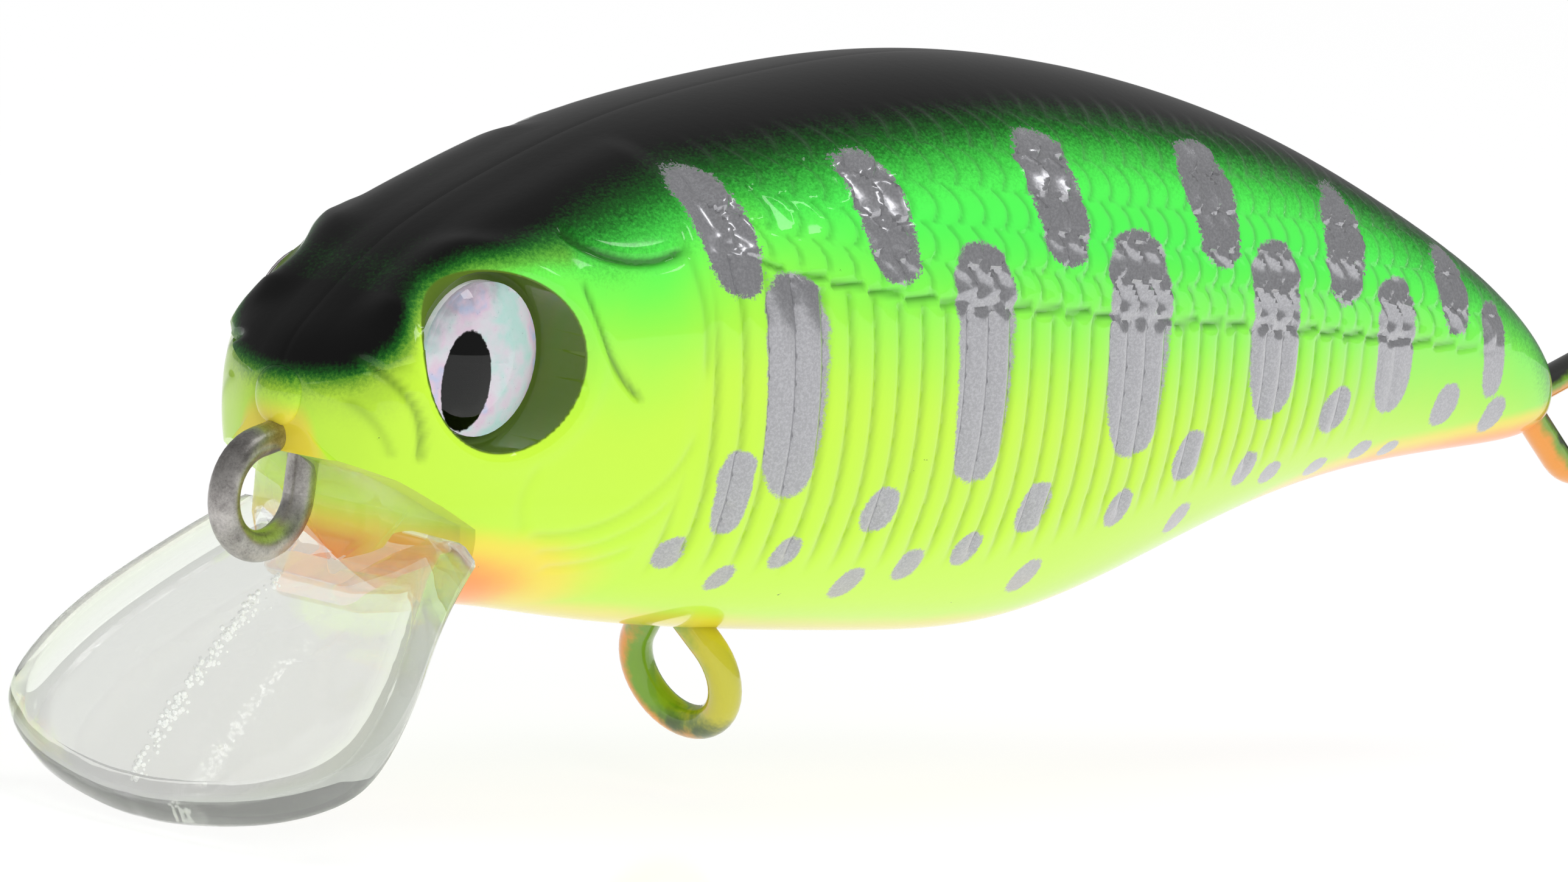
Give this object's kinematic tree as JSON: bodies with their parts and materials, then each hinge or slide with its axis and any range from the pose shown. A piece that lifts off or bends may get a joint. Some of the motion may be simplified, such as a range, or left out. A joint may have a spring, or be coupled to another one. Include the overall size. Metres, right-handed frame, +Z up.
{
  "type": "crankbait lure",
  "caption": "Short deep-bodied crankbait: two painted half shells, a clear diving lip, bent wire eyes, domed eyes, ballast and loose rattles.",
  "frame": {"origin": "middle of the line tie's eye, on the lure's middle plane", "axes": "+X to the nose, +Y to the lure's left flank, +Z up with the body level"},
  "size_m": [0.0701, 0.0144, 0.0232],
  "materials": {
    "painted_shell": "black, green and yellow lacquer with silver bars",
    "clear_lip": "clear polished polycarbonate",
    "bare_wire": "bright drawn stainless wire",
    "painted_wire": "wire sprayed with the body colours",
    "eye_foil": "pearl holographic print with a black pupil",
    "eye_lens": "clear doming resin",
    "ballast": "dull grey ball",
    "rattle_steel": "polished ball"
  },
  "bodies": {
    "lure": {"left_shell": "painted_shell", "right_shell": "painted_shell", "left_lip_half": "clear_lip", "right_lip_half": "clear_lip", "line_tie": "bare_wire", "belly_hanger": "painted_wire", "tail_hanger": "painted_wire", "left_eye_foil": "eye_foil", "right_eye_foil": "eye_foil", "left_eye_lens": "eye_lens", "right_eye_lens": "eye_lens", "front_ballast": "ballast", "rear_ballast": "ballast"},
    "rattle_1": {"rattle_ball_1": "rattle_steel"},
    "rattle_2": {"rattle_ball_2": "rattle_steel"},
    "rattle_3": {"rattle_ball_3": "rattle_steel"},
    "rattle_4": {"rattle_ball_4": "rattle_steel"}
  },
  "joints": [
    {"name": "rattle_slide_1", "type": "slide", "parent": "lure", "child": "rattle_1", "axis": [1, 0, 0], "range_m": [-0.00125, 0.00125]},
    {"name": "rattle_slide_2", "type": "slide", "parent": "lure", "child": "rattle_2", "axis": [1, 0, 0], "range_m": [-0.00125, 0.00125]},
    {"name": "rattle_slide_3", "type": "slide", "parent": "lure", "child": "rattle_3", "axis": [1, 0, 0], "range_m": [-0.00125, 0.00125]},
    {"name": "rattle_slide_4", "type": "slide", "parent": "lure", "child": "rattle_4", "axis": [1, 0, 0], "range_m": [-0.00125, 0.00125]}
  ]
}
